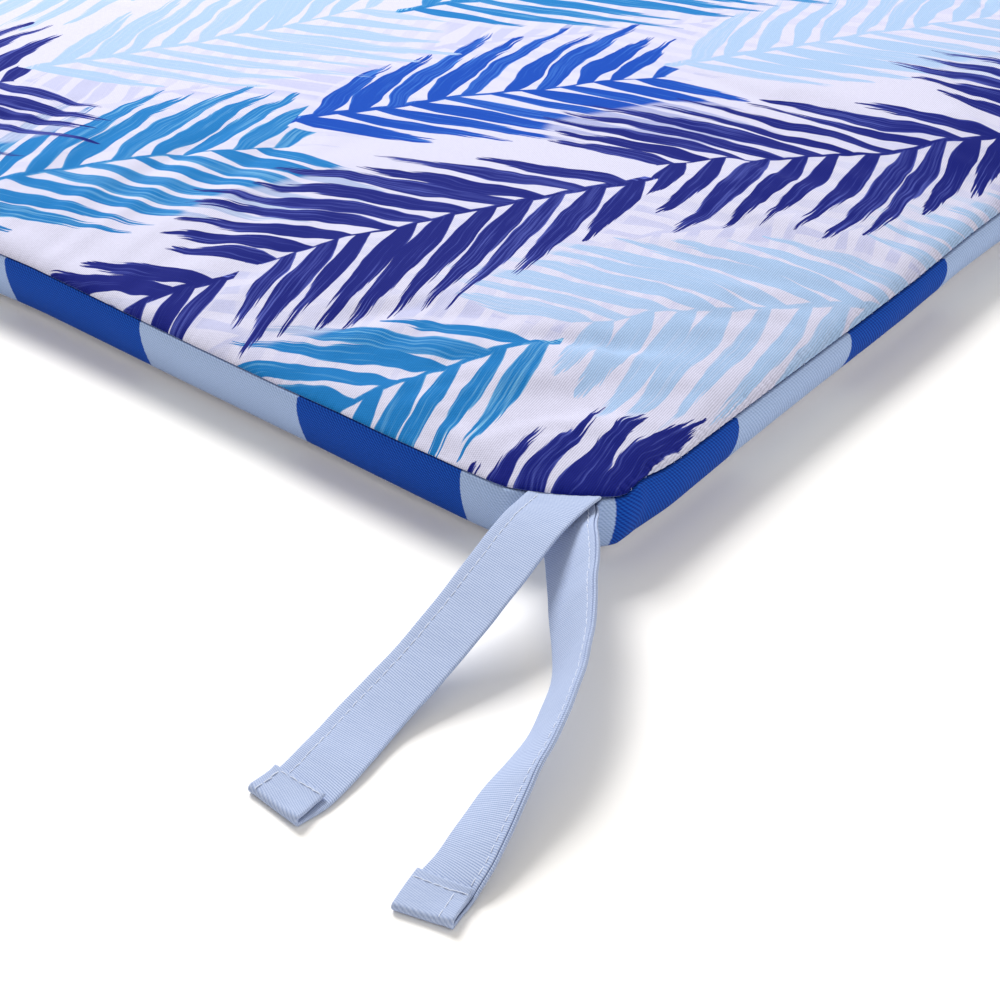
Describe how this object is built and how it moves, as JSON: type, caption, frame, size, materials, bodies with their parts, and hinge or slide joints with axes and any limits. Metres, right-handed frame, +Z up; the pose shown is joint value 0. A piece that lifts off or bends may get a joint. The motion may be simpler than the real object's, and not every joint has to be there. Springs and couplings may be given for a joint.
{
  "type": "chair cushion",
  "caption": "Thin square seat pad with a crowned printed top, a striped boxing band round its sides, and flat tie straps at both back corners.",
  "frame": {"origin": "centre of the flat underside, on the surface that the cushion rests on", "axes": "+Z up through the pad's thickness, +Y towards the back of the chair, where the ties are, +X to the right as seen from the front of the chair"},
  "size_m": [0.682, 0.5005, 0.033],
  "materials": {
    "printed_canvas": "cotton twill printed with blue leaves on a lilac white ground, matt; underside plain pale canvas",
    "striped_canvas": "canvas in wide cobalt and light blue stripes, matt",
    "tie_cloth": "light blue canvas, fine crosswise ribs, white edge stitching, matt"
  },
  "bodies": {
    "root": {"cushion": "printed_canvas", "boxing_band": "striped_canvas", "tie_right_upper": "tie_cloth", "tie_right_lower": "tie_cloth", "tie_left_upper": "tie_cloth", "tie_left_lower": "tie_cloth"}
  },
  "joints": []
}
